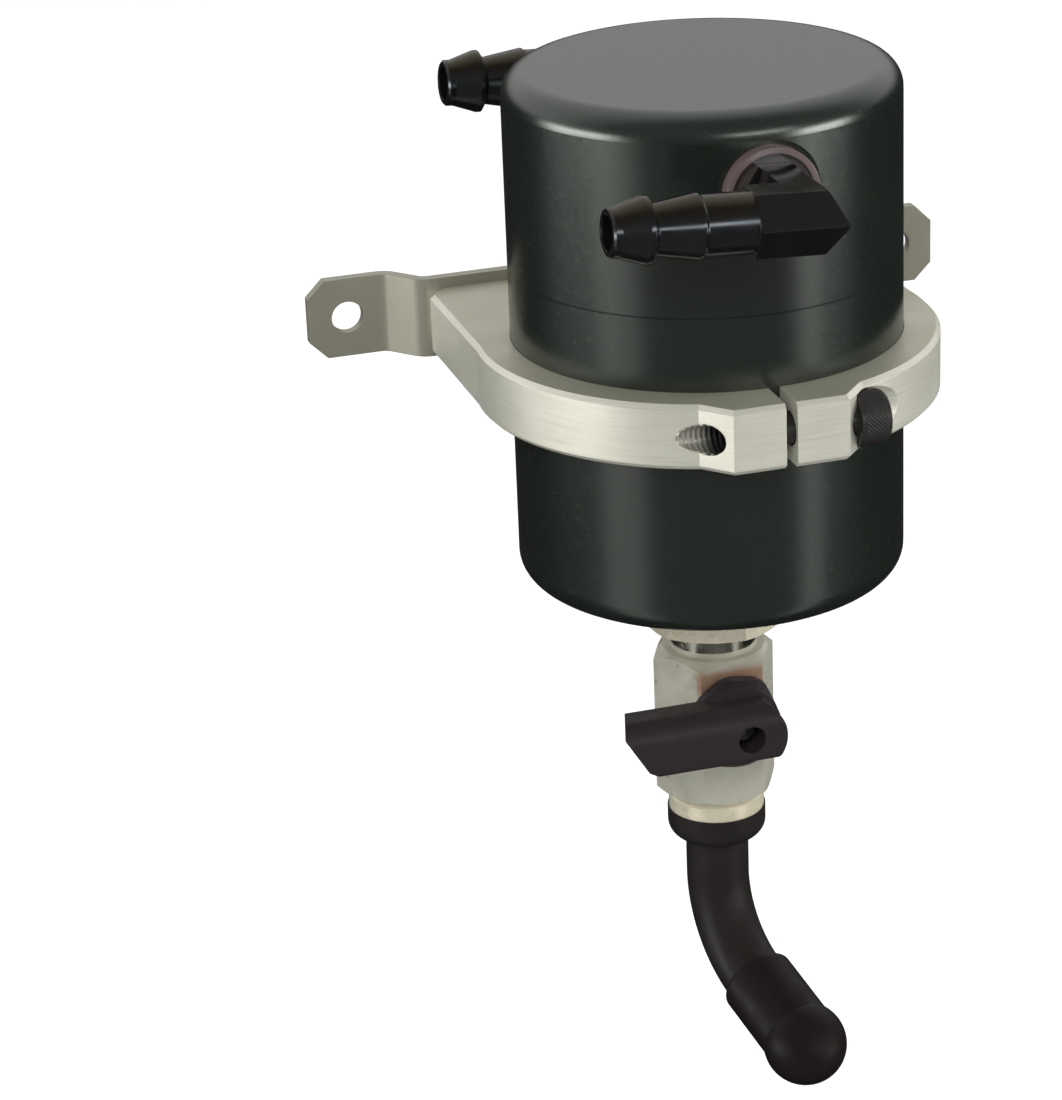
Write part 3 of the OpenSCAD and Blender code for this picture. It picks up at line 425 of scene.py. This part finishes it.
def stage_floor():
    """Flat sheet below the hanging part; it glows a little for the camera alone, so it reads white."""
    reach, height, glow_power = 6.0, cad_box[0][2] - FLOOR_GAP, 0.5
    mesh = bpy.data.meshes.new("floor")
    corners = [(x * reach, y * reach, height) for x, y in ((-1, -1), (1, -1), (1, 1), (-1, 1))]
    mesh.from_pydata(corners, [], [(0, 1, 2, 3)])
    floor = bpy.data.objects.new("floor", mesh)
    bpy.context.scene.collection.objects.link(floor)
    mat = bpy.data.materials.new("floor_paper")
    mat.use_nodes = True
    tree = mat.node_tree
    tree.nodes.clear()
    out = tree.nodes.new("ShaderNodeOutputMaterial")
    paper = tree.nodes.new("ShaderNodeBsdfDiffuse")
    paper.inputs["Color"].default_value = (0.82, 0.82, 0.82, 1)
    glow = tree.nodes.new("ShaderNodeEmission")
    path = tree.nodes.new("ShaderNodeLightPath").outputs
    seen = math_node(tree, "MAXIMUM", path["Is Camera Ray"], path["Is Transmission Ray"])
    add = tree.nodes.new("ShaderNodeAddShader")
    tree.links.new(math_node(tree, "MULTIPLY", seen, glow_power), glow.inputs["Strength"])
    tree.links.new(paper.outputs[0], add.inputs[0])
    tree.links.new(glow.outputs[0], add.inputs[1])
    tree.links.new(add.outputs[0], out.inputs["Surface"])
    floor.data.materials.append(mat)
    floor.visible_glossy = False


# Studio windows: azimuth of the centre and half width in degrees from -Y towards +X, brightness,
# and the heights z of the view direction between which the bottom and the top edge fade.
WINDOWS = (
    (-70, 13, 0.6, (-0.95, -0.7), (-0.1, 0.1)),      # dim, makes the wall's left streak
    (43, 7, 0.75, (-0.95, -0.7), (-0.1, 0.1)),       # dim, makes the wall's right streak
    (-92, 22, 7.5, (-0.22, -0.12), (0.02, 0.18)),    # bright, makes the rim's left arc
    (52, 16, 8.0, (-0.22, -0.12), (0.02, 0.18)),     # bright, makes the rim's right arc
    (14, 18, 4.0, (0.17, 0.23), (0.33, 0.38)),       # makes the streak along the front elbow
)


def studio_world():
    """Dark room, pale behind and above, with the windows on the left, on the right and in front.
    The camera sees plain white in its place."""
    world = bpy.data.worlds.new("studio")
    bpy.context.scene.world = world
    world.use_nodes = True
    tree = world.node_tree
    tree.nodes.clear()
    new, link = tree.nodes.new, tree.links.new

    def calc(what, a, b=0.0):
        return math_node(tree, what, a, b)

    def fade(value, lo, hi, to_lo, to_hi):
        """Goes smoothly from to_lo to to_hi as value goes from lo to hi."""
        n = new("ShaderNodeMapRange")
        n.interpolation_type = "SMOOTHSTEP"
        for key, v in (("From Min", lo), ("From Max", hi), ("To Min", to_lo), ("To Max", to_hi)):
            n.inputs[key].default_value = v
        link(value, n.inputs["Value"])
        return n.outputs["Result"]

    way = new("ShaderNodeTexCoord").outputs["Generated"]
    split = new("ShaderNodeSeparateXYZ")
    link(way, split.inputs[0])
    x, y, z = split.outputs
    azimuth = calc("MULTIPLY", calc("ARCTAN2", x, calc("MULTIPLY", y, -1.0)), math.degrees(1.0))

    def window(centre, half, bright, bottom, top):
        """Rectangle of light, whose sides fade between 0.6 and 1.4 times its half width."""
        off = calc("ABSOLUTE", calc("SUBTRACT", azimuth, centre))
        across = fade(off, half * 0.6, half * 1.4, bright, 0.0)
        upright = calc("MULTIPLY", fade(z, *bottom, 0.0, 1.0), fade(z, *top, 1.0, 0.0))
        return calc("MULTIPLY", across, upright)

    from_front = calc("ABSOLUTE", calc("ADD", azimuth, 17.0))
    low = fade(from_front, 25.0, 60.0, 0.12, 0.02)    # below eye level, dim in front and dark beyond
    high = fade(y, -0.3, 0.5, 0.15, 0.8)              # above eye level, paler towards the back
    up = fade(z, 0.0, 0.25, 0.0, 1.0)                 # from the lower to the upper one
    total = calc("ADD", calc("MULTIPLY", low, calc("SUBTRACT", 1.0, up)), calc("MULTIPLY", high, up))
    for light in WINDOWS:
        total = calc("ADD", total, window(*light))
    seen = new("ShaderNodeLightPath").outputs["Is Camera Ray"]
    shown = calc("ADD", calc("MULTIPLY", total, calc("SUBTRACT", 1.0, seen)), seen)
    back = new("ShaderNodeBackground")
    back.inputs["Color"].default_value = (1.0, 1.0, 0.99, 1)
    link(shown, back.inputs["Strength"])
    out = new("ShaderNodeOutputWorld")
    link(back.outputs[0], out.inputs["Surface"])


def soft_lamp(name, place, target, size, power):
    """Square lamp aimed at target, which lights dull colour only and shows in no reflection."""
    data = bpy.data.lights.new(name, "AREA")
    data.shape = "SQUARE"
    data.size = size
    data.energy = power
    lamp = bpy.data.objects.new(name, data)
    bpy.context.scene.collection.objects.link(lamp)
    lamp.location = place
    lamp.rotation_euler = (Vector(target) - Vector(place)).to_track_quat("-Z", "Y").to_euler()
    lamp.visible_glossy = False


def photo_camera():
    """Camera fitted to the photograph: place, heading, pitch and roll in the part's frame."""
    place, lens, sensor = Vector((-0.21566, -0.68807, 0.23748)), 119.344, 36
    heading, pitch, roll = (math.radians(degrees) for degrees in (15.698, -22.449, -2.391))
    level = math.cos(pitch)
    look = Vector((math.sin(heading) * level, math.cos(heading) * level, math.sin(pitch)))
    right = look.cross(Vector((0, 0, 1))).normalized()
    up = right.cross(look)
    side = math.cos(roll) * right + math.sin(roll) * up
    top = -math.sin(roll) * right + math.cos(roll) * up
    data = bpy.data.cameras.new("camera")
    data.sensor_fit = "VERTICAL"
    data.sensor_height = sensor
    data.lens = lens
    camera = bpy.data.objects.new("camera", data)
    bpy.context.scene.collection.objects.link(camera)
    turn = Matrix((side, top, -look)).transposed().to_4x4()
    camera.matrix_world = Matrix.Translation(place) @ turn
    bpy.context.scene.camera = camera


stage_floor()
studio_world()
soft_lamp("key", (-0.55, -1.0, 0.75), (0, -0.05, 0), 0.5, 10.5)
soft_lamp("fill", (1.0, -0.15, 0.2), (0, -0.05, 0), 0.4, 7)
photo_camera()
bpy.context.scene.view_settings.view_transform = "Standard"
